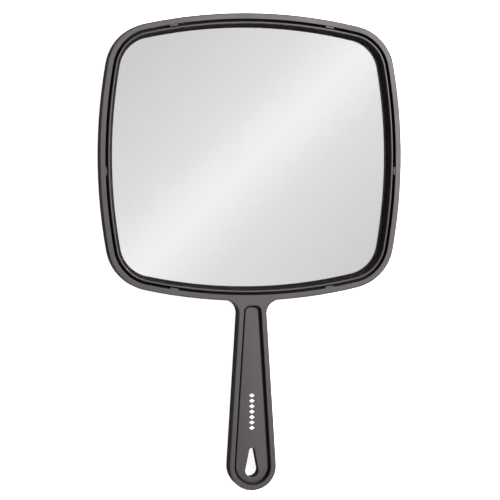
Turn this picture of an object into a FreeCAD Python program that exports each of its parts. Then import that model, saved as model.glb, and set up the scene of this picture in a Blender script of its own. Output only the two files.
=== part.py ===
import FreeCAD, Part
import math
import os
import Sketcher

# A hand mirror lying on its back: +X to the right, +Y from the handle towards the top of the head, +Z out
# of the glass. The origin is under the middle of the bounding box, on the back face. Lengths are in
# millimetres and angles in degrees. An inset is a distance inwards from the outer outline, so one outline
# with different insets serves the moulding, the ring and the plates.

DIMENSIONS = {
    # overall
    "overall_length": 280.0,
    "head_width": 180.0,
    "head_height": 168.0,
    "thickness": 12.5,
    # head outline: four long arcs joined by four corner arcs
    "side_arc_radius": 310.0,
    "end_arc_radius": 292.0,
    "corner_radius": 28.0,
    # moulded body
    "rim_width": 3.4,
    "floor_thickness": 2.4,
    "front_edge_round": 0.7,
    "back_edge_round": 3.0,
    "opening_edge_round": 0.25,
    "neck_round": 8.0,
    # pad and glass
    "pad_thickness": 1.3,
    "pad_inset": 4.6,
    "glass_thickness": 3.0,
    "glass_inset": 4.0,
    "glass_edge_bevel": 0.4,
    # bezel ring
    "ring_clearance": 0.2,
    "flange_drop": 4.0,
    "ridge_inset": 4.85,
    "ridge_drop": 0.4,
    "ridge_round": 0.45,
    "aperture_front_inset": 5.9,
    "aperture_back_inset": 8.0,
    # snap catches on the rim's inner wall, which hold the ring down
    "catch_spread": 47.0,
    "side_catch_drop": 8.0,
    "catch_width": 4.7,
    "catch_reach": 0.9,
    "catch_root": 0.5,
    "catch_drop": 0.7,
    "catch_clearance": 0.1,
    # handle
    "handle_end_radius": 14.1,
    "handle_taper": 3.6,
    "handle_root": 70.0,
    "border_width": 3.15,
    "recess_top": 86.8,
    "recess_corner_radius": 3.6,
    "step_run": 0.3,
    "step_depth": 2.8,
    # handle insert, and the hollow under it
    "insert_thickness": 2.0,
    "insert_gap": 0.9,
    "insert_edge_round": 0.4,
    "ledge_width": 2.0,
    "pin_first": 98.0,
    "pin_spacing": 31.0,
    "pin_radius": 1.5,
    "pin_length": 4.0,
    "pin_clearance": 0.1,
    "boss_radius": 2.6,
    "rib_thickness": 1.4,
    "rib_length": 16.0,
    # teardrop hanging hole
    "hole_end_radius": 3.8,
    "hole_tip_radius": 1.6,
    "hole_setback": 0.6,
    "hole_length": 17.2,
    "hole_to_end": 7.6,
    "hole_wall": 2.5,
    "hole_edge_round": 0.4,
}

PIN_COUNT = 3
START, END, CENTRE = 1, 2, 3
ORIGIN = (-1, 1)
Y_AXIS = -2
X_AXIS = -1
TOLERANCE = 1e-4

doc = FreeCAD.newDocument("hand_mirror")
sheet = doc.addObject("Spreadsheet::Sheet", "Dimensions")
for row, (alias, value) in enumerate(DIMENSIONS.items(), start=1):
    sheet.set(f"A{row}", alias)
    sheet.set(f"B{row}", str(value))
    sheet.setAlias(f"B{row}", alias)
doc.recompute()

# Places worked out from the driving dimensions, each an expression on the sheet.
HALF_LENGTH_SHIFT = "((Dimensions.overall_length - Dimensions.head_height) / 2)"
GLASS_BACK = "(Dimensions.floor_thickness + Dimensions.pad_thickness)"
GLASS_FRONT = f"({GLASS_BACK} + Dimensions.glass_thickness)"
FLANGE_TOP = "(Dimensions.thickness - Dimensions.flange_drop)"
RIDGE_TOP = "(Dimensions.thickness - Dimensions.ridge_drop)"
PANEL_LEVEL = "(Dimensions.thickness - Dimensions.step_depth)"
LEDGE_LEVEL = f"({PANEL_LEVEL} - Dimensions.insert_thickness)"
RING_INSET = "(Dimensions.rim_width + Dimensions.ring_clearance)"
STEP_INSET = "(Dimensions.border_width + Dimensions.step_run)"
INSERT_INSET = f"({STEP_INSET} + Dimensions.insert_gap)"
HOLLOW_INSET = f"({STEP_INSET} + Dimensions.ledge_width)"
SIDE_SHIFT = "(Dimensions.side_arc_radius - Dimensions.head_width / 2)"
END_SHIFT = "(Dimensions.end_arc_radius - Dimensions.head_height / 2)"
HANDLE_END = "(Dimensions.overall_length - Dimensions.head_height / 2)"
HANDLE_END_CENTRE = f"({HANDLE_END} - Dimensions.handle_end_radius)"
HOLE_END_CENTRE = f"({HANDLE_END} - Dimensions.hole_to_end - Dimensions.hole_end_radius)"
HOLE_TIP_CENTRE = (
    f"({HANDLE_END} - Dimensions.hole_to_end - Dimensions.hole_length + Dimensions.hole_tip_radius)"
)


def number(expression):
    return float(sheet.evalExpression(expression))


# ---------------------------------------------------------------- bodies and sketches


def new_body(label):
    """An empty body whose own origin is under the middle of the head."""
    body = doc.addObject("PartDesign::Body", label)
    body.Label = label
    body.setExpression("Placement.Base.y", HALF_LENGTH_SHIFT)
    return body


def new_sketch(body, name, level):
    """A sketch parallel to the back face, at a height given as an expression."""
    sketch = body.newObject("Sketcher::SketchObject", f"{body.Label}_{name}")
    base_plane = next(item for item in body.Origin.OriginFeatures if item.Role == "XY_Plane")
    sketch.AttachmentSupport = [(base_plane, "")]
    sketch.MapMode = "FlatFace"
    sketch.setExpression("AttachmentOffset.Base.z", level)
    return sketch


def bind(sketch, name, expression, *constraint):
    """Add a dimension to the sketch and tie it to the sheet."""
    index = sketch.addConstraint(Sketcher.Constraint(*constraint, number(expression)))
    sketch.renameConstraint(index, name)
    sketch.setExpression(f"Constraints.{name}", expression)


def add_arc(sketch, centre_x, centre_y, radius, start_angle, end_angle):
    circle = Part.Circle(FreeCAD.Vector(centre_x, centre_y, 0), FreeCAD.Vector(0, 0, 1), radius)
    return sketch.addGeometry(Part.ArcOfCircle(circle, start_angle, end_angle), False)


def add_line(sketch, start, end):
    return sketch.addGeometry(Part.LineSegment(FreeCAD.Vector(*start, 0), FreeCAD.Vector(*end, 0)), False)


def join_smoothly(sketch, chain):
    """Tie the end of each piece to the start of the next one, tangent, all the way round."""
    for first, second in zip(chain, chain[1:] + chain[:1]):
        sketch.addConstraint(Sketcher.Constraint("Tangent", first, END, second, START))


# ---------------------------------------------------------------- outlines


def head_outline(sketch, inset):
    """Rounded square of four long arcs and four corner arcs, all tangent, drawn anticlockwise."""
    side_radius = number(f"Dimensions.side_arc_radius - {inset}")
    end_radius = number(f"Dimensions.end_arc_radius - {inset}")
    corner_radius = number(f"Dimensions.corner_radius - {inset}")
    side_shift = number(SIDE_SHIFT)
    end_shift = number(END_SHIFT)
    # The corner's centre is a known distance from the centre of the side arc and of the end arc.
    to_side = side_radius - corner_radius
    to_end = end_radius - corner_radius
    apart = math.hypot(side_shift, end_shift)
    along = (to_side**2 - to_end**2 + apart**2) / (2 * apart)
    across = math.sqrt(to_side**2 - along**2)
    corner_x = -side_shift + (along * side_shift + across * end_shift) / apart
    corner_y = (-along * end_shift + across * side_shift) / apart
    side_angle = math.atan2(corner_y, corner_x + side_shift)
    end_angle = math.atan2(corner_x, corner_y + end_shift)
    quarter = math.pi / 2
    right = add_arc(sketch, -side_shift, 0, side_radius, -side_angle, side_angle)
    top_right = add_arc(sketch, corner_x, corner_y, corner_radius, side_angle, quarter - end_angle)
    top = add_arc(sketch, 0, -end_shift, end_radius, quarter - end_angle, quarter + end_angle)
    top_left = add_arc(
        sketch, -corner_x, corner_y, corner_radius, quarter + end_angle, 2 * quarter - side_angle
    )
    left = add_arc(sketch, side_shift, 0, side_radius, 2 * quarter - side_angle, 2 * quarter + side_angle)
    low_left = add_arc(
        sketch, -corner_x, -corner_y, corner_radius, 2 * quarter + side_angle, 3 * quarter - end_angle
    )
    bottom = add_arc(sketch, 0, end_shift, end_radius, 3 * quarter - end_angle, 3 * quarter + end_angle)
    low_right = add_arc(
        sketch, corner_x, -corner_y, corner_radius, 3 * quarter + end_angle, 4 * quarter - side_angle
    )
    join_smoothly(sketch, [right, top_right, top, top_left, left, low_left, bottom, low_right])
    for side in (right, left):
        sketch.addConstraint(Sketcher.Constraint("PointOnObject", side, CENTRE, X_AXIS))
    for end in (top, bottom):
        sketch.addConstraint(Sketcher.Constraint("PointOnObject", end, CENTRE, Y_AXIS))
    for corner in (top_left, low_left, low_right):
        sketch.addConstraint(Sketcher.Constraint("Equal", top_right, corner))
    sketch.addConstraint(Sketcher.Constraint("Equal", right, left))
    sketch.addConstraint(Sketcher.Constraint("Equal", top, bottom))
    bind(sketch, "side_radius", f"Dimensions.side_arc_radius - {inset}", "Radius", right)
    bind(sketch, "end_radius", f"Dimensions.end_arc_radius - {inset}", "Radius", top)
    bind(sketch, "corner_radius", f"Dimensions.corner_radius - {inset}", "Radius", top_right)
    bind(sketch, "right_shift", SIDE_SHIFT, "DistanceX", right, CENTRE, *ORIGIN)
    bind(sketch, "left_shift", SIDE_SHIFT, "DistanceX", *ORIGIN, left, CENTRE)
    bind(sketch, "top_shift", END_SHIFT, "DistanceY", top, CENTRE, *ORIGIN)
    bind(sketch, "bottom_shift", END_SHIFT, "DistanceY", *ORIGIN, bottom, CENTRE)


def handle_outline(sketch):
    """Two tapering sides and a round end, open-topped inside the head and closed there by a short line."""
    taper = math.radians(number("Dimensions.handle_taper"))
    radius = number("Dimensions.handle_end_radius")
    centre_y = -number(HANDLE_END_CENTRE)
    root_y = -number("Dimensions.handle_root")
    root_x = radius / math.cos(taper) - (root_y - centre_y) * math.tan(taper)
    touch = (radius * math.cos(taper), centre_y + radius * math.sin(taper))
    root = add_line(sketch, (root_x, root_y), (-root_x, root_y))
    left = add_line(sketch, (-root_x, root_y), (-touch[0], touch[1]))
    end = add_arc(sketch, 0, centre_y, radius, math.pi - taper, 2 * math.pi + taper)
    right = add_line(sketch, touch, (root_x, root_y))
    sketch.addConstraint(Sketcher.Constraint("Coincident", root, END, left, START))
    sketch.addConstraint(Sketcher.Constraint("Tangent", left, END, end, START))
    sketch.addConstraint(Sketcher.Constraint("Tangent", end, END, right, START))
    sketch.addConstraint(Sketcher.Constraint("Coincident", right, END, root, START))
    sketch.addConstraint(Sketcher.Constraint("Symmetric", root, START, root, END, Y_AXIS))
    sketch.addConstraint(Sketcher.Constraint("PointOnObject", end, CENTRE, Y_AXIS))
    bind(sketch, "end_radius", "Dimensions.handle_end_radius", "Radius", end)
    bind(sketch, "end_centre", HANDLE_END_CENTRE, "DistanceY", end, CENTRE, *ORIGIN)
    bind(sketch, "root_level", "Dimensions.handle_root", "DistanceY", root, START, *ORIGIN)
    bind_taper(sketch, right)


def bind_taper(sketch, right_side):
    """Lean the right side inwards by the handle's taper. The line runs up, so its angle is over 90."""
    index = sketch.addConstraint(
        Sketcher.Constraint(
            "Angle", right_side, math.radians(90 + number("Dimensions.handle_taper"))
        )
    )
    sketch.renameConstraint(index, "taper")
    sketch.setExpression("Constraints.taper", "90 deg + Dimensions.handle_taper * 1 deg")


def panel_outline(sketch, inset):
    """The handle's outline moved inwards, closed under the neck by a straight top with round corners."""
    top_expression = f"Dimensions.recess_top + {inset} - Dimensions.border_width"
    corner_expression = f"Dimensions.recess_corner_radius + Dimensions.border_width - {inset}"
    taper = math.radians(number("Dimensions.handle_taper"))
    radius = number(f"Dimensions.handle_end_radius - {inset}")
    corner = number(corner_expression)
    centre_y = -number(HANDLE_END_CENTRE)
    top_y = -number(top_expression)
    corner_y = top_y - corner
    corner_x = (radius - corner) / math.cos(taper) - (corner_y - centre_y) * math.tan(taper)
    side_start = (corner_x + corner * math.cos(taper), corner_y + corner * math.sin(taper))
    side_end = (radius * math.cos(taper), centre_y + radius * math.sin(taper))
    top = add_line(sketch, (corner_x, top_y), (-corner_x, top_y))
    left_corner = add_arc(sketch, -corner_x, corner_y, corner, math.pi / 2, math.pi - taper)
    left = add_line(sketch, (-side_start[0], side_start[1]), (-side_end[0], side_end[1]))
    end = add_arc(sketch, 0, centre_y, radius, math.pi - taper, 2 * math.pi + taper)
    right = add_line(sketch, side_end, side_start)
    right_corner = add_arc(sketch, corner_x, corner_y, corner, taper, math.pi / 2)
    join_smoothly(sketch, [top, left_corner, left, end, right, right_corner])
    sketch.addConstraint(Sketcher.Constraint("Symmetric", top, START, top, END, Y_AXIS))
    sketch.addConstraint(Sketcher.Constraint("PointOnObject", end, CENTRE, Y_AXIS))
    sketch.addConstraint(Sketcher.Constraint("Equal", right_corner, left_corner))
    bind(sketch, "corner_radius", corner_expression, "Radius", right_corner)
    bind(sketch, "end_radius", f"Dimensions.handle_end_radius - {inset}", "Radius", end)
    bind(sketch, "end_centre", HANDLE_END_CENTRE, "DistanceY", end, CENTRE, *ORIGIN)
    bind(sketch, "top_level", top_expression, "DistanceY", top, START, *ORIGIN)
    bind_taper(sketch, right)


def teardrop_outline(sketch, margin):
    """The hanging hole grown by a margin: a small tip towards the head and a large round end."""
    end_radius = number(f"Dimensions.hole_end_radius + {margin}")
    tip_radius = number(f"Dimensions.hole_tip_radius + {margin}")
    end_y = -number(HOLE_END_CENTRE)
    tip_y = -number(HOLE_TIP_CENTRE)
    lean = math.asin((end_radius - tip_radius) / (tip_y - end_y))
    tip_touch = (tip_radius * math.cos(lean), tip_y + tip_radius * math.sin(lean))
    end_touch = (end_radius * math.cos(lean), end_y + end_radius * math.sin(lean))
    tip = add_arc(sketch, 0, tip_y, tip_radius, lean, math.pi - lean)
    left = add_line(sketch, (-tip_touch[0], tip_touch[1]), (-end_touch[0], end_touch[1]))
    end = add_arc(sketch, 0, end_y, end_radius, math.pi - lean, 2 * math.pi + lean)
    right = add_line(sketch, end_touch, tip_touch)
    join_smoothly(sketch, [tip, left, end, right])
    for arc in (tip, end):
        sketch.addConstraint(Sketcher.Constraint("PointOnObject", arc, CENTRE, Y_AXIS))
    bind(sketch, "tip_radius", f"Dimensions.hole_tip_radius + {margin}", "Radius", tip)
    bind(sketch, "end_radius", f"Dimensions.hole_end_radius + {margin}", "Radius", end)
    bind(sketch, "tip_centre", HOLE_TIP_CENTRE, "DistanceY", tip, CENTRE, *ORIGIN)
    bind(sketch, "end_centre", HOLE_END_CENTRE, "DistanceY", end, CENTRE, *ORIGIN)


def rectangle_outline(sketch, width, near, far):
    """A rectangle across the sketch's Y axis, from a near to a far distance along it."""
    half = number(width) / 2
    low = number(near)
    high = number(far)
    bottom = add_line(sketch, (-half, low), (half, low))
    right = add_line(sketch, (half, low), (half, high))
    top = add_line(sketch, (half, high), (-half, high))
    left = add_line(sketch, (-half, high), (-half, low))
    for first, second in ((bottom, right), (right, top), (top, left), (left, bottom)):
        sketch.addConstraint(Sketcher.Constraint("Coincident", first, END, second, START))
    for side in (right, left):
        sketch.addConstraint(Sketcher.Constraint("Vertical", side))
    sketch.addConstraint(Sketcher.Constraint("Horizontal", top))
    sketch.addConstraint(Sketcher.Constraint("Symmetric", bottom, START, bottom, END, Y_AXIS))
    bind(sketch, "width", width, "DistanceX", bottom, START, bottom, END)
    bind(sketch, "near", near, "DistanceY", *ORIGIN, bottom, START)
    bind(sketch, "far", far, "DistanceY", *ORIGIN, top, START)


# ---------------------------------------------------------------- features


def extrude(kind, body, sketch, length):
    """Pad a sketch upwards, or pocket it downwards, by a length given as an expression."""
    feature = body.newObject(f"PartDesign::{kind}", f"{sketch.Name}_{kind.lower()}")
    feature.Profile = sketch
    feature.setExpression("Length", length)
    sketch.Visibility = False
    doc.recompute()
    return feature


def cut_sloping(body, front_sketch, back_sketch):
    """Cut the flat-sided hollow between an outline and a smaller or larger one further back."""
    feature = body.newObject("PartDesign::SubtractiveLoft", f"{front_sketch.Name}_loft")
    feature.Profile = front_sketch
    feature.Sections = [back_sketch]
    feature.Ruled = True
    doc.recompute()
    return feature


def add_cylinder(kind, body, name, radius, height, y, z):
    """A round boss, pin or bore standing on (0, y, z)."""
    feature = body.newObject(f"PartDesign::{kind}Cylinder", f"{body.Label}_{name}")
    feature.setExpression("Radius", radius)
    feature.setExpression("Height", height)
    feature.setExpression("Placement.Base.y", y)
    feature.setExpression("Placement.Base.z", z)
    doc.recompute()
    return feature


def dress_edges(kind, body, name, wanted, size_property, size):
    """Fillet or chamfer the edges of the body's tip that a test picks."""
    base = body.Tip
    names = [f"Edge{i}" for i, edge in enumerate(base.Shape.Edges, start=1) if wanted(edge)]
    if not names:
        raise RuntimeError(f"{body.Label}: no edge found for {name}")
    feature = body.newObject(f"PartDesign::{kind}", f"{body.Label}_{name}")
    feature.Base = (base, names)
    feature.setExpression(size_property, size)
    doc.recompute()
    return feature


def at_level(level):
    """A test for edges that lie flat at this height."""
    height = number(level)

    def lies_there(edge):
        box = edge.BoundBox
        return abs(box.ZMin - height) < TOLERANCE and abs(box.ZMax - height) < TOLERANCE

    return lies_there


def opening_edges(body, level):
    """A test for the edges where openings start in the largest flat face at this height."""
    height = number(level)
    flat = [face for face in body.Tip.Shape.Faces if abs(face.BoundBox.ZMin - height) < TOLERANCE]
    face = max(flat, key=lambda item: item.Area)
    inner = [edge for wire in face.Wires if not wire.isSame(face.OuterWire) for edge in wire.Edges]
    return lambda edge: any(edge.isSame(other) for other in inner)


def neck_edges(edge):
    """The two upright edges where the handle's sides meet the head."""
    box = edge.BoundBox
    upright = box.ZLength > number("Dimensions.thickness") - TOLERANCE
    near_middle = max(abs(box.XMin), abs(box.XMax)) < number("Dimensions.handle_end_radius")
    return upright and near_middle and box.YMin > -number("Dimensions.recess_top") - TOLERANCE


# ---------------------------------------------------------------- catches


CATCH_LEAN = "asin(Dimensions.catch_spread / Dimensions.end_arc_radius)"
SIDE_CATCH_LEAN = "asin(Dimensions.side_catch_drop / Dimensions.side_arc_radius)"

# Where a catch sits: centre of the long arc that it is on (X and Y), radius of that arc, and the turn from
# straight up.
CATCH_SEATS = {
    "top_right": ("0", f"-{END_SHIFT}", "Dimensions.end_arc_radius", f"-{CATCH_LEAN}"),
    "top_left": ("0", f"-{END_SHIFT}", "Dimensions.end_arc_radius", CATCH_LEAN),
    "low_left": ("0", END_SHIFT, "Dimensions.end_arc_radius", f"180 deg - {CATCH_LEAN}"),
    "low_right": ("0", END_SHIFT, "Dimensions.end_arc_radius", f"180 deg + {CATCH_LEAN}"),
    "right": (f"-{SIDE_SHIFT}", "0", "Dimensions.side_arc_radius", f"-90 deg - {SIDE_CATCH_LEAN}"),
    "left": (SIDE_SHIFT, "0", "Dimensions.side_arc_radius", f"90 deg + {SIDE_CATCH_LEAN}"),
}


def add_catch(body, seat):
    """A small block that stands out of the rim's inner wall just above the ring's flange."""
    centre_x, centre_y, radius, turn = CATCH_SEATS[seat]
    bottom = f"{FLANGE_TOP} + Dimensions.catch_clearance"
    sketch = new_sketch(body, f"catch_{seat}", bottom)
    sketch.setExpression("AttachmentOffset.Base.x", centre_x)
    sketch.setExpression("AttachmentOffset.Base.y", centre_y)
    sketch.setExpression("AttachmentOffset.Rotation.Angle", turn)
    tip = f"{radius} - Dimensions.rim_width - Dimensions.catch_reach"
    root = f"{radius} - Dimensions.rim_width + Dimensions.catch_root"
    rectangle_outline(sketch, "Dimensions.catch_width", tip, root)
    extrude("Pad", body, sketch, f"Dimensions.thickness - Dimensions.catch_drop - ({bottom})")


# ---------------------------------------------------------------- sub-parts


def make_body():
    """Frame and handle in one moulding: a tray for the glass, and a hollow handle with a sunk front."""
    body = new_body("body")
    head = new_sketch(body, "head", "0")
    head_outline(head, "0")
    extrude("Pad", body, head, "Dimensions.thickness")
    handle = new_sketch(body, "handle", "0")
    handle_outline(handle)
    extrude("Pad", body, handle, "Dimensions.thickness")
    dress_edges("Fillet", body, "neck", neck_edges, "Radius", "Dimensions.neck_round")
    dress_edges("Fillet", body, "back_edge", at_level("0"), "Radius", "Dimensions.back_edge_round")
    front = at_level("Dimensions.thickness")
    dress_edges("Fillet", body, "front_edge", front, "Radius", "Dimensions.front_edge_round")
    cut_tray(body)
    cut_handle_recess(body)
    openings = opening_edges(body, "Dimensions.thickness")
    dress_edges("Fillet", body, "opening_edges", openings, "Radius", "Dimensions.opening_edge_round")
    fill_handle_hollow(body)
    cut_hanging_hole(body)
    return body


def cut_tray(body):
    """The well that takes pad, glass and ring, with the catches round its wall."""
    tray = new_sketch(body, "tray", "Dimensions.thickness")
    head_outline(tray, "Dimensions.rim_width")
    extrude("Pocket", body, tray, "Dimensions.thickness - Dimensions.floor_thickness")
    for seat in CATCH_SEATS:
        add_catch(body, seat)


def cut_handle_recess(body):
    """The sloping step inside the raised border, the seat of the insert and the hollow below it."""
    step_front = new_sketch(body, "step_front", "Dimensions.thickness")
    panel_outline(step_front, "Dimensions.border_width")
    step_back = new_sketch(body, "step_back", PANEL_LEVEL)
    panel_outline(step_back, STEP_INSET)
    cut_sloping(body, step_front, step_back)
    seat = new_sketch(body, "insert_seat", PANEL_LEVEL)
    panel_outline(seat, STEP_INSET)
    extrude("Pocket", body, seat, "Dimensions.insert_thickness")
    hollow = new_sketch(body, "hollow", LEDGE_LEVEL)
    panel_outline(hollow, HOLLOW_INSET)
    extrude("Pocket", body, hollow, f"{LEDGE_LEVEL} - Dimensions.floor_thickness")


def pin_place(step):
    """Y of a pin along the handle. Half steps are the places between two pins."""
    return f"-(Dimensions.pin_first + {step} * Dimensions.pin_spacing)"


def fill_handle_hollow(body):
    """Spine and cross ribs that stiffen the hollow, and the bosses that take the insert's pins."""
    rise = f"{LEDGE_LEVEL} - Dimensions.floor_thickness"
    floor = "Dimensions.floor_thickness"
    spine = new_sketch(body, "spine", floor)
    spine.setExpression("AttachmentOffset.Rotation.Angle", "180 deg")
    last_pin = f"Dimensions.pin_first + {PIN_COUNT - 1} * Dimensions.pin_spacing"
    rectangle_outline(spine, "Dimensions.rib_thickness", "Dimensions.pin_first", last_pin)
    extrude("Pad", body, spine, rise)
    for step in range(PIN_COUNT - 1):
        middle = f"(Dimensions.pin_first + {step + 0.5} * Dimensions.pin_spacing)"
        rib = new_sketch(body, f"rib_{step + 1}", floor)
        rib.setExpression("AttachmentOffset.Rotation.Angle", "180 deg")
        near = f"{middle} - Dimensions.rib_thickness / 2"
        rectangle_outline(rib, "Dimensions.rib_length", near, f"{near} + Dimensions.rib_thickness")
        extrude("Pad", body, rib, rise)
    for step in range(PIN_COUNT):
        name = f"boss_{step + 1}"
        add_cylinder("Additive", body, name, "Dimensions.boss_radius", rise, pin_place(step), floor)
    bore_radius = "Dimensions.pin_radius + Dimensions.pin_clearance"
    bore_depth = "(Dimensions.pin_length + 2 * Dimensions.pin_clearance)"
    for step in range(PIN_COUNT):
        bottom = f"{LEDGE_LEVEL} - {bore_depth}"
        name = f"bore_{step + 1}"
        add_cylinder("Subtractive", body, name, bore_radius, bore_depth, pin_place(step), bottom)


def cut_hanging_hole(body):
    """A teardrop tube from the back face up to the insert, a little wider than the insert's own hole."""
    tube = new_sketch(body, "hole_tube", "Dimensions.floor_thickness")
    teardrop_outline(tube, "Dimensions.hole_wall")
    extrude("Pad", body, tube, f"{LEDGE_LEVEL} - Dimensions.floor_thickness")
    hole = new_sketch(body, "hole", LEDGE_LEVEL)
    teardrop_outline(hole, "Dimensions.hole_setback")
    extrude("Pocket", body, hole, LEDGE_LEVEL)
    openings = opening_edges(body, "0")
    dress_edges("Fillet", body, "hole_edge", openings, "Radius", "Dimensions.hole_edge_round")


def make_backing_pad():
    """Thin sheet between the floor of the tray and the glass."""
    body = new_body("backing_pad")
    outline = new_sketch(body, "outline", "Dimensions.floor_thickness")
    head_outline(outline, "Dimensions.pad_inset")
    extrude("Pad", body, outline, "Dimensions.pad_thickness")
    return body


def make_mirror_glass():
    """Silvered plate with bevelled edges, resting on the pad."""
    body = new_body("mirror_glass")
    outline = new_sketch(body, "outline", GLASS_BACK)
    head_outline(outline, "Dimensions.glass_inset")
    extrude("Pad", body, outline, "Dimensions.glass_thickness")
    for name, level in (("front_bevel", GLASS_FRONT), ("back_bevel", GLASS_BACK)):
        dress_edges("Chamfer", body, name, at_level(level), "Size", "Dimensions.glass_edge_bevel")
    return body


def make_bezel_ring():
    """Retaining ring: a low outer flange, a narrow rounded ridge and a wall that slopes to the glass."""
    body = new_body("bezel_ring")
    flange = new_sketch(body, "flange", GLASS_FRONT)
    head_outline(flange, RING_INSET)
    extrude("Pad", body, flange, f"{FLANGE_TOP} - {GLASS_FRONT}")
    ridge = new_sketch(body, "ridge", FLANGE_TOP)
    head_outline(ridge, "Dimensions.ridge_inset")
    extrude("Pad", body, ridge, f"{RIDGE_TOP} - {FLANGE_TOP}")
    aperture_front = new_sketch(body, "aperture_front", RIDGE_TOP)
    head_outline(aperture_front, "Dimensions.aperture_front_inset")
    aperture_back = new_sketch(body, "aperture_back", GLASS_FRONT)
    head_outline(aperture_back, "Dimensions.aperture_back_inset")
    cut_sloping(body, aperture_front, aperture_back)
    dress_edges("Fillet", body, "ridge_edges", at_level(RIDGE_TOP), "Radius", "Dimensions.ridge_round")
    return body


def make_handle_insert():
    """Panel that closes the hollow handle, with pins below and the hanging hole through it."""
    body = new_body("handle_insert")
    outline = new_sketch(body, "outline", LEDGE_LEVEL)
    panel_outline(outline, INSERT_INSET)
    extrude("Pad", body, outline, "Dimensions.insert_thickness")
    front = at_level(PANEL_LEVEL)
    dress_edges("Fillet", body, "front_edge", front, "Radius", "Dimensions.insert_edge_round")
    hole = new_sketch(body, "hole", PANEL_LEVEL)
    teardrop_outline(hole, "0")
    extrude("Pocket", body, hole, "Dimensions.insert_thickness")
    openings = opening_edges(body, PANEL_LEVEL)
    dress_edges("Fillet", body, "hole_edge", openings, "Radius", "Dimensions.hole_edge_round")
    pin_bottom = f"{LEDGE_LEVEL} - Dimensions.pin_length"
    for step in range(PIN_COUNT):
        name = f"pin_{step + 1}"
        radius = "Dimensions.pin_radius"
        add_cylinder("Additive", body, name, radius, "Dimensions.pin_length", pin_place(step), pin_bottom)
    return body


# ---------------------------------------------------------------- checks and files


def check_features(body):
    """Every sketch is fully tied down, and every feature adds or removes material as it should."""
    volume = 0.0
    for item in body.Group:
        if item.TypeId == "Sketcher::SketchObject":
            if not item.FullyConstrained:
                raise RuntimeError(f"{item.Name}: the sketch is not fully constrained")
            continue
        adds = "Pad" in item.TypeId or "Additive" in item.TypeId
        removes = "Pocket" in item.TypeId or "Subtractive" in item.TypeId
        change = item.Shape.Volume - volume
        if adds and change <= 0 or removes and change >= 0:
            raise RuntimeError(f"{item.Name}: the volume changed by {change:.1f} mm3")
        volume = item.Shape.Volume


def check_document(bodies):
    for item in doc.Objects:
        if "Invalid" in item.State or "Error" in item.State:
            raise RuntimeError(f"{item.Name}: {item.State}")
    for body in bodies:
        if body.Shape.isNull() or not body.Shape.isValid() or len(body.Shape.Solids) != 1:
            raise RuntimeError(f"{body.Label}: the shape is not one valid solid")
        check_features(body)


def export_parts(bodies):
    os.makedirs("parts", exist_ok=True)
    for body in bodies:
        body.Shape.exportStep(f"parts/{body.Label}.step")
        box = body.Shape.BoundBox
        print(
            f"{body.Label}: {body.Shape.Volume:.0f} mm3, "
            f"X {box.XMin:.2f} to {box.XMax:.2f}, Y {box.YMin:.2f} to {box.YMax:.2f}, "
            f"Z {box.ZMin:.2f} to {box.ZMax:.2f}"
        )


parts = [
    make_body(),
    make_backing_pad(),
    make_mirror_glass(),
    make_bezel_ring(),
    make_handle_insert(),
]
doc.recompute()
check_document(parts)
export_parts(parts)
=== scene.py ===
import math

import bmesh
import bpy
from mathutils import Matrix, Vector


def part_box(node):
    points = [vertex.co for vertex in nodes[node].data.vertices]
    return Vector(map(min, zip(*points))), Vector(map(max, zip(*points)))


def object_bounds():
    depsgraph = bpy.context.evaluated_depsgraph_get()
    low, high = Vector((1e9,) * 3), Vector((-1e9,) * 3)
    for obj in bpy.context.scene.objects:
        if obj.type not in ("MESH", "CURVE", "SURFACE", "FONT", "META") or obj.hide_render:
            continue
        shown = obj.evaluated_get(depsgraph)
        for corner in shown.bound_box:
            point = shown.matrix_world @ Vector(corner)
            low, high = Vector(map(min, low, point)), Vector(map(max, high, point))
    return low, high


# Looks for the hand mirror. Lengths are in metres and angles in degrees, in the frame of the CAD part: the
# mirror lies on its back, +Y runs from the handle to the top of the head, and +Z comes out of the glass.

MM = 0.001

CAMERA_PLACE = Vector((-0.2270, 0.0542, 1.1013))
CAMERA_YAW = 11.69
CAMERA_PITCH = -2.695
CAMERA_LENS_MM = 136.93
CAMERA_SENSOR_MM = 36.0

# Studio dome: brightness at angles from straight up.
DOME_BRIGHTNESS = (
    (0, 0.66),
    (17, 0.66),
    (19, 0.85),
    (48, 0.30),
    (62, 0.42),
    (92, 0.34),
    (112, 0.6),
    (130, 0.6),
    (148, 0.02),
    (180, 0.02),
)

# A black flag hangs over the handle's end, and a fill light stands low behind it: factors by place along Y.
FLAG_FACTORS = ((-1.0, 3.0), (-0.68, 3.0), (-0.52, 0.2), (-0.19, 0.1), (-0.08, 1.0), (1.0, 1.0))

# A round softbox beyond the top right of the head. It is near enough for the handle's end to get less of it.
LAMP_PLACE = Vector((0.78, 0.46, 1.46))
LAMP_TARGET = Vector((0.0, 0.05, 0.0))
LAMP_WIDTH = 0.70
LAMP_WATTS = 48.0

# What the glass shows: a soft diagonal glare, brightest on a line at this place across the dome.
GLARE_TURN = 45.0
GLARE_MIDDLE = 0.203
GLARE_CORE = 0.032
GLARE_CORE_GAIN = 0.13
GLARE_SPREAD = 0.081
GLARE_SPREAD_GAIN = 0.3
GLARE_EDGE = (16.5, 18.0)

PRINT_MIDDLE_FROM_END = 42.0 * MM
PRINT_PITCH = 3.2 * MM
PRINT_COUNT = 7
PRINT_HALF_WIDTH = 1.7 * MM
PRINT_NARROWING = 2.6
PANEL_CROWN = 0.25 * MM


# ---------------------------------------------------------------- node helpers


def add_node(tree, kind, inputs=None, **settings):
    """A node with its settings. Each input takes a value or another node's output."""
    node = tree.nodes.new(kind)
    for name, value in settings.items():
        setattr(node, name, value)
    for name, value in (inputs or {}).items():
        if isinstance(value, bpy.types.NodeSocket):
            tree.links.new(value, node.inputs[name])
        else:
            node.inputs[name].default_value = value
    return node


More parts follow.
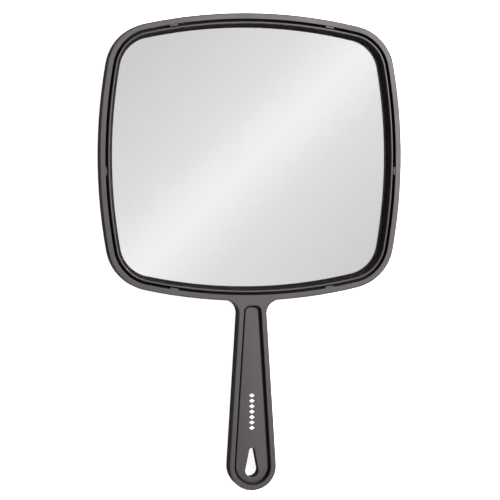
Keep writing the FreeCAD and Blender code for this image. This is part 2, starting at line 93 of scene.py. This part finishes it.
def calc(tree, operation, first, second=0.0, third=0.0):
    """One step of arithmetic, as an output to link on."""
    inputs = {0: first, 1: second}
    if operation in ("MULTIPLY_ADD", "SMOOTH_MIN", "COMPARE"):
        inputs[2] = third
    return add_node(tree, "ShaderNodeMath", inputs, operation=operation).outputs[0]


def stretch(tree, value, low, high, to_low, to_high):
    """Map a value from one range to another, eased at both ends and clamped."""
    inputs = {"Value": value, "From Min": low, "From Max": high, "To Min": to_low, "To Max": to_high}
    node = add_node(tree, "ShaderNodeMapRange", inputs, interpolation_type="SMOOTHSTEP")
    return node.outputs["Result"]


def profile(tree, value, points):
    """The height, at this value, of a line drawn through points."""
    first, last = points[0][0], points[-1][0]
    peak = max(height for _, height in points)
    inputs = {"Value": value, "From Min": first, "From Max": last}
    share = add_node(tree, "ShaderNodeMapRange", inputs).outputs["Result"]
    ramp = add_node(tree, "ShaderNodeValToRGB", {"Fac": share})
    stops = ramp.color_ramp.elements
    for place, _ in points[1:-1]:
        stops.new((place - first) / (last - first))
    for stop, (_, height) in zip(stops, points):
        stop.color = (*[height / peak] * 3, 1.0)
    return calc(tree, "MULTIPLY", ramp.outputs["Color"], peak)


def noise(tree, place, size, detail=2.0, roughness=0.5):
    """Noise from 0 to 1 whose features have about this size."""
    inputs = {"Vector": place, "Scale": 1.0 / size, "Detail": detail, "Roughness": roughness}
    return add_node(tree, "ShaderNodeTexNoise", inputs).outputs["Fac"]


def mix_colour(tree, amount, first, second):
    node = add_node(tree, "ShaderNodeMix", data_type="RGBA")
    for index, value in ((0, amount), (6, first), (7, second)):
        if isinstance(value, bpy.types.NodeSocket):
            tree.links.new(value, node.inputs[index])
        elif index == 0:
            node.inputs[index].default_value = value
        else:
            node.inputs[index].default_value = (*value, 1.0)
    return node.outputs[2]


def new_material(name):
    """A material with its node tree, its main shader and the place on the object."""
    material = bpy.data.materials.new(name)
    material.use_nodes = True
    tree = material.node_tree
    place = add_node(tree, "ShaderNodeTexCoord").outputs["Object"]
    return material, tree, tree.nodes["Principled BSDF"], place


def bump(tree, height, depth, normal=None):
    """A normal roughened by a height from 0 to 1 that stands this deep."""
    inputs = {"Strength": 1.0, "Distance": depth, "Height": height}
    if normal is not None:
        inputs["Normal"] = normal
    return add_node(tree, "ShaderNodeBump", inputs).outputs["Normal"]


def edge_mask(tree, width):
    """From 0 on flat faces to 1 on sharp edges, this wide."""
    rounded = add_node(tree, "ShaderNodeBevel", {"Radius": width}, samples=6).outputs["Normal"]
    plain = add_node(tree, "ShaderNodeNewGeometry").outputs["Normal"]
    dot = add_node(tree, "ShaderNodeVectorMath", {0: rounded, 1: plain}, operation="DOT_PRODUCT")
    return stretch(tree, dot.outputs["Value"], 0.995, 0.86, 0.0, 1.0)


# ---------------------------------------------------------------- materials


def moulded_plastic(name, dark, light, roughness, grain_size, grain_depth):
    """Black moulded plastic: fine spark-eroded grain, faint flow and handling marks, edges rubbed smooth."""
    material, tree, shader, place = new_material(name)
    cloud = noise(tree, place, 55 * MM, detail=4.0, roughness=0.6)
    grain = noise(tree, place, grain_size, detail=3.0, roughness=0.65)
    speck = noise(tree, place, 1.6 * MM, detail=2.0)
    edge = edge_mask(tree, 0.35 * MM)
    worn = calc(tree, "MULTIPLY", edge, stretch(tree, speck, 0.35, 0.7, 0.25, 1.0))
    tone = calc(tree, "MULTIPLY_ADD", grain, 0.35, calc(tree, "MULTIPLY", cloud, 0.65))
    colour = mix_colour(tree, stretch(tree, tone, 0.3, 0.7, 0.0, 1.0), dark, light)
    colour = mix_colour(tree, calc(tree, "MULTIPLY", worn, 0.35), colour, (0.035, 0.031, 0.032))
    tree.links.new(colour, shader.inputs["Base Color"])
    matt = stretch(tree, cloud, 0.3, 0.7, roughness - 0.04, roughness + 0.05)
    matt = calc(tree, "MULTIPLY_ADD", grain, 0.06, matt)
    matt = calc(tree, "MULTIPLY_ADD", worn, -0.12, matt)
    tree.links.new(matt, shader.inputs["Roughness"])
    waves = bump(tree, cloud, 0.05 * MM)
    tree.links.new(bump(tree, grain, grain_depth, waves), shader.inputs["Normal"])
    shader.inputs["IOR"].default_value = 1.6
    shader.inputs["Specular Tint"].default_value = (1.0, 0.90, 0.94, 1.0)
    return material, tree, shader, place


def frame_plastic():
    dark = (0.0105, 0.0090, 0.0095)
    light = (0.0165, 0.0142, 0.0150)
    return moulded_plastic("frame_plastic_look", dark, light, 0.48, 0.28 * MM, 0.012 * MM)[0]


def ring_plastic(ridge_bottom):
    """The ring's plastic: satin on its ridge, and matt black below so that it doesn't shine in the glass."""
    dark = (0.0075, 0.0066, 0.0070)
    light = (0.0110, 0.0097, 0.0103)
    material, tree, shader, place = moulded_plastic(
        "ring_plastic_look", dark, light, 0.42, 0.20 * MM, 0.004 * MM
    )
    height = add_node(tree, "ShaderNodeSeparateXYZ", {"Vector": place}).outputs["Z"]
    matt = stretch(tree, height, ridge_bottom - 0.2 * MM, ridge_bottom + 0.2 * MM, 1.0, 0.0)
    satin = shader.inputs["Roughness"].links[0].from_socket
    tree.links.new(calc(tree, "MULTIPLY_ADD", matt, 0.35, satin), shader.inputs["Roughness"])
    tree.links.new(calc(tree, "MULTIPLY_ADD", matt, -0.38, 0.5), shader.inputs["Specular IOR Level"])
    return material


def lozenge_row(tree, split, panel_end):
    """1 inside a row of lozenges along the panel's middle line, and 0 elsewhere."""
    start = panel_end + PRINT_MIDDLE_FROM_END - PRINT_PITCH * PRINT_COUNT / 2
    along = calc(tree, "DIVIDE", calc(tree, "SUBTRACT", split["Y"], start), PRINT_PITCH)
    inside = calc(tree, "COMPARE", along, PRINT_COUNT / 2, PRINT_COUNT / 2)
    from_middle = calc(tree, "ABSOLUTE", calc(tree, "SUBTRACT", calc(tree, "FRACT", along), 0.5))
    across = calc(tree, "DIVIDE", calc(tree, "ABSOLUTE", split["X"]), PRINT_HALF_WIDTH)
    reach = calc(tree, "MULTIPLY_ADD", from_middle, PRINT_NARROWING, across)
    return calc(tree, "MULTIPLY", calc(tree, "LESS_THAN", reach, 1.0), inside)


def insert_plastic(panel):
    """The handle's panel, slightly crowned, with a row of plain white lozenges printed along it."""
    dark = (0.0105, 0.0090, 0.0095)
    light = (0.0165, 0.0142, 0.0150)
    material, tree, shader, place = moulded_plastic(
        "insert_plastic_look", dark, light, 0.48, 0.24 * MM, 0.014 * MM
    )
    lowest, highest = panel
    split = add_node(tree, "ShaderNodeSeparateXYZ", {"Vector": place}).outputs
    on_top = calc(tree, "GREATER_THAN", split["Z"], highest.z - 0.05 * MM)
    ink = calc(tree, "MULTIPLY", lozenge_row(tree, split, lowest.y), on_top)
    patchy = stretch(tree, noise(tree, place, 0.5 * MM, detail=3.0), 0.25, 0.5, 0.6, 0.85)
    ink = calc(tree, "MULTIPLY", ink, patchy)
    plain = shader.inputs["Base Color"].links[0].from_socket
    tree.links.new(mix_colour(tree, ink, plain, (0.80, 0.80, 0.79)), shader.inputs["Base Color"])
    share = calc(tree, "DIVIDE", split["X"], highest.x)
    crown = calc(tree, "MULTIPLY_ADD", calc(tree, "MULTIPLY", share, share), -1.0, 1.0)
    grained = shader.inputs["Normal"].links[0].from_socket
    tree.links.new(bump(tree, crown, PANEL_CROWN, grained), shader.inputs["Normal"])
    return material


def clear_glass():
    """Float glass, with a trace of green and a few faint wiping smears."""
    material, tree, shader, place = new_material("clear_glass_look")
    smear = noise(tree, place, 30 * MM, detail=5.0, roughness=0.7)
    tint = mix_colour(tree, smear, (0.968, 0.972, 0.969), (0.980, 0.983, 0.981))
    tree.links.new(tint, shader.inputs["Base Color"])
    tree.links.new(stretch(tree, smear, 0.45, 0.8, 0.0, 0.012), shader.inputs["Roughness"])
    tree.links.new(bump(tree, smear, 0.002 * MM), shader.inputs["Normal"])
    shader.inputs["Transmission Weight"].default_value = 1.0
    shader.inputs["IOR"].default_value = 1.52
    return material


def silver_coating():
    """Silver on the back of the glass, a shade greyer in patches."""
    material, tree, shader, place = new_material("silver_coating_look")
    patches = noise(tree, place, 12 * MM, detail=6.0, roughness=0.7)
    colour = mix_colour(tree, patches, (0.935, 0.935, 0.935), (0.96, 0.96, 0.96))
    tree.links.new(colour, shader.inputs["Base Color"])
    tree.links.new(stretch(tree, patches, 0.4, 0.8, 0.0, 0.008), shader.inputs["Roughness"])
    shader.inputs["Metallic"].default_value = 1.0
    return material


def grey_board():
    """Recycled grey board with short fibres."""
    material, tree, shader, place = new_material("grey_board_look")
    fibres = noise(tree, place, 0.6 * MM, detail=6.0, roughness=0.75)
    blotch = noise(tree, place, 9 * MM, detail=2.0)
    tone = calc(tree, "MULTIPLY_ADD", fibres, 0.6, calc(tree, "MULTIPLY", blotch, 0.4))
    colour = mix_colour(tree, tone, (0.27, 0.25, 0.225), (0.44, 0.42, 0.38))
    tree.links.new(colour, shader.inputs["Base Color"])
    tree.links.new(stretch(tree, fibres, 0.3, 0.7, 0.85, 0.97), shader.inputs["Roughness"])
    tree.links.new(bump(tree, fibres, 0.05 * MM), shader.inputs["Normal"])
    return material


def studio_floor():
    """Plain white paper, not drawn from below so that the mirror's back can be seen."""
    material, tree, shader, place = new_material("studio_floor_look")
    blotch = noise(tree, place, 0.4, detail=2.0)
    paper = mix_colour(tree, blotch, (0.90, 0.90, 0.90), (0.92, 0.92, 0.92))
    tree.links.new(paper, shader.inputs["Base Color"])
    tree.links.new(paper, shader.inputs["Emission Color"])
    shader.inputs["Emission Strength"].default_value = 0.9
    shader.inputs["Roughness"].default_value = 0.9
    below = add_node(tree, "ShaderNodeNewGeometry").outputs["Backfacing"]
    clear = add_node(tree, "ShaderNodeBsdfTransparent").outputs["BSDF"]
    mixed = add_node(tree, "ShaderNodeMixShader", {0: below, 1: shader.outputs["BSDF"], 2: clear})
    tree.links.new(mixed.outputs["Shader"], tree.nodes["Material Output"].inputs["Surface"])
    return material


# ---------------------------------------------------------------- studio


def angle_between(tree, direction, other):
    """Degrees between two directions."""
    dot = add_node(tree, "ShaderNodeVectorMath", {0: direction, 1: other}, operation="DOT_PRODUCT")
    cosine = calc(tree, "MINIMUM", calc(tree, "MAXIMUM", dot.outputs["Value"], -1.0), 1.0)
    return calc(tree, "MULTIPLY", calc(tree, "ARCCOSINE", cosine), 180.0 / math.pi)


def studio_dome():
    """Soft light from all round, with a diagonal glare straight overhead."""
    world = bpy.data.worlds.new("studio")
    bpy.context.scene.world = world
    world.use_nodes = True
    tree = world.node_tree
    direction = add_node(tree, "ShaderNodeTexCoord").outputs["Generated"]
    split = add_node(tree, "ShaderNodeSeparateXYZ", {"Vector": direction}).outputs
    from_top = angle_between(tree, direction, Vector((0, 0, 1)))
    level = profile(tree, from_top, DOME_BRIGHTNESS)
    level = calc(tree, "MULTIPLY", level, profile(tree, split["Y"], FLAG_FACTORS))
    overhead = stretch(tree, from_top, *GLARE_EDGE, 1.0, 0.0)
    turn = math.radians(GLARE_TURN)
    across = calc(tree, "MULTIPLY", split["X"], math.cos(turn))
    across = calc(tree, "MULTIPLY_ADD", split["Y"], -math.sin(turn), across)
    offset = calc(tree, "ABSOLUTE", calc(tree, "SUBTRACT", across, GLARE_MIDDLE * math.cos(turn)))
    core = stretch(tree, offset, 0.0, GLARE_CORE, GLARE_CORE_GAIN, 0.0)
    slope = -GLARE_SPREAD_GAIN / GLARE_SPREAD
    spread = calc(tree, "MULTIPLY_ADD", offset, slope, GLARE_SPREAD_GAIN)
    spread = calc(tree, "MAXIMUM", spread, 0.0)
    glare = calc(tree, "MULTIPLY", calc(tree, "ADD", core, spread), overhead)
    level = calc(tree, "MULTIPLY_ADD", level, glare, level)
    background = tree.nodes["Background"]
    background.inputs["Color"].default_value = (1.0, 1.0, 1.0, 1.0)
    tree.links.new(level, background.inputs["Strength"])


def softbox():
    """A round soft lamp, pointed at the head. The glass doesn't show it, or specks of it fall on the ring."""
    data = bpy.data.lights.new("softbox", "AREA")
    data.shape = "DISK"
    data.size = LAMP_WIDTH
    data.energy = LAMP_WATTS
    lamp = bpy.data.objects.new("softbox", data)
    bpy.context.scene.collection.objects.link(lamp)
    turn = (LAMP_PLACE - LAMP_TARGET).to_track_quat("Z", "Y").to_matrix().to_4x4()
    lamp.matrix_world = Matrix.Translation(LAMP_PLACE) @ turn
    lamp.visible_transmission = False


def floor_sheet(level):
    """A round sheet of paper that curls up into a wall far from the mirror."""
    flat_radius = 1.4
    curl_radius = 0.8
    rings = [(0.3, 0.0), (0.8, 0.0), (flat_radius, 0.0)]
    for step in range(1, 9):
        angle = math.radians(90 * step / 8)
        rings.append((flat_radius + curl_radius * math.sin(angle), curl_radius * (1 - math.cos(angle))))
    sides = 96
    sheet = bmesh.new()
    centre = sheet.verts.new((0, 0, level))
    loops = []
    for radius, height in rings:
        loop = []
        for step in range(sides):
            angle = 2 * math.pi * step / sides
            corner = (radius * math.cos(angle), radius * math.sin(angle), level + height)
            loop.append(sheet.verts.new(corner))
        loops.append(loop)
    for step in range(sides):
        sheet.faces.new((centre, loops[0][step], loops[0][(step + 1) % sides]))
    for inner, outer in zip(loops, loops[1:]):
        for step in range(sides):
            after = (step + 1) % sides
            sheet.faces.new((inner[step], outer[step], outer[after], inner[after]))
    for face in sheet.faces:
        face.smooth = True
    mesh = bpy.data.meshes.new("studio_floor")
    sheet.to_mesh(mesh)
    sheet.free()
    floor = bpy.data.objects.new("studio_floor", mesh)
    bpy.context.scene.collection.objects.link(floor)
    mesh.materials.append(studio_floor())
    floor.visible_glossy = False
    floor.visible_diffuse = False
    floor.visible_transmission = False
    floor.visible_shadow = False


def aim_camera():
    """The camera, nearly above the glass and a little to the left."""
    yaw = math.radians(CAMERA_YAW)
    pitch = math.radians(CAMERA_PITCH)
    gaze = Vector((math.sin(yaw) * math.cos(pitch), math.sin(pitch), -math.cos(yaw) * math.cos(pitch)))
    data = bpy.data.cameras.new("camera")
    data.lens = CAMERA_LENS_MM
    data.sensor_width = CAMERA_SENSOR_MM
    data.clip_start = 0.01
    camera = bpy.data.objects.new("camera", data)
    bpy.context.scene.collection.objects.link(camera)
    right = gaze.cross(Vector((0, 1, 0))).normalized()
    turn = Matrix((right, right.cross(gaze), -gaze)).transposed()
    camera.matrix_world = Matrix.Translation(CAMERA_PLACE) @ turn.to_4x4()
    bpy.context.scene.camera = camera


# ---------------------------------------------------------------- pieces


def paint(node, material):
    node.data.materials.clear()
    node.data.materials.append(material)


def silver_back(glass, back_level):
    """Clear glass all round, and silver on the flat back face."""
    paint(glass, clear_glass())
    glass.data.materials.append(silver_coating())
    for face in glass.data.polygons:
        if face.center.z < back_level + 0.01 * MM:
            face.material_index = 1


def thin_slightly(node):
    """Shrink the pad by a hair, so that it doesn't share a plane with the silver."""
    modifier = node.modifiers.new("hair_gap", "DISPLACE")
    modifier.strength = -0.02 * MM
    modifier.mid_level = 0.0


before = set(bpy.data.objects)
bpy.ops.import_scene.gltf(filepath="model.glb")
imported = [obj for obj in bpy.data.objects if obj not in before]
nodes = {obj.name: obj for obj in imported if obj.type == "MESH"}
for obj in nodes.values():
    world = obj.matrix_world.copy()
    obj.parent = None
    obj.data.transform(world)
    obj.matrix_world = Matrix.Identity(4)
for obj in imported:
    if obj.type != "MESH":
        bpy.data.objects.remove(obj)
cad_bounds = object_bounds()

paint(nodes["body"], frame_plastic())
paint(nodes["bezel_ring"], ring_plastic(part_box("bezel_ring")[1].z - 0.6 * MM))
paint(nodes["handle_insert"], insert_plastic(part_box("handle_insert")))
paint(nodes["backing_pad"], grey_board())
silver_back(nodes["mirror_glass"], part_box("mirror_glass")[0].z)
thin_slightly(nodes["backing_pad"])

floor_sheet(cad_bounds[0].z - 0.1 * MM)
studio_dome()
softbox()
aim_camera()
bpy.context.scene.view_settings.view_transform = "Standard"
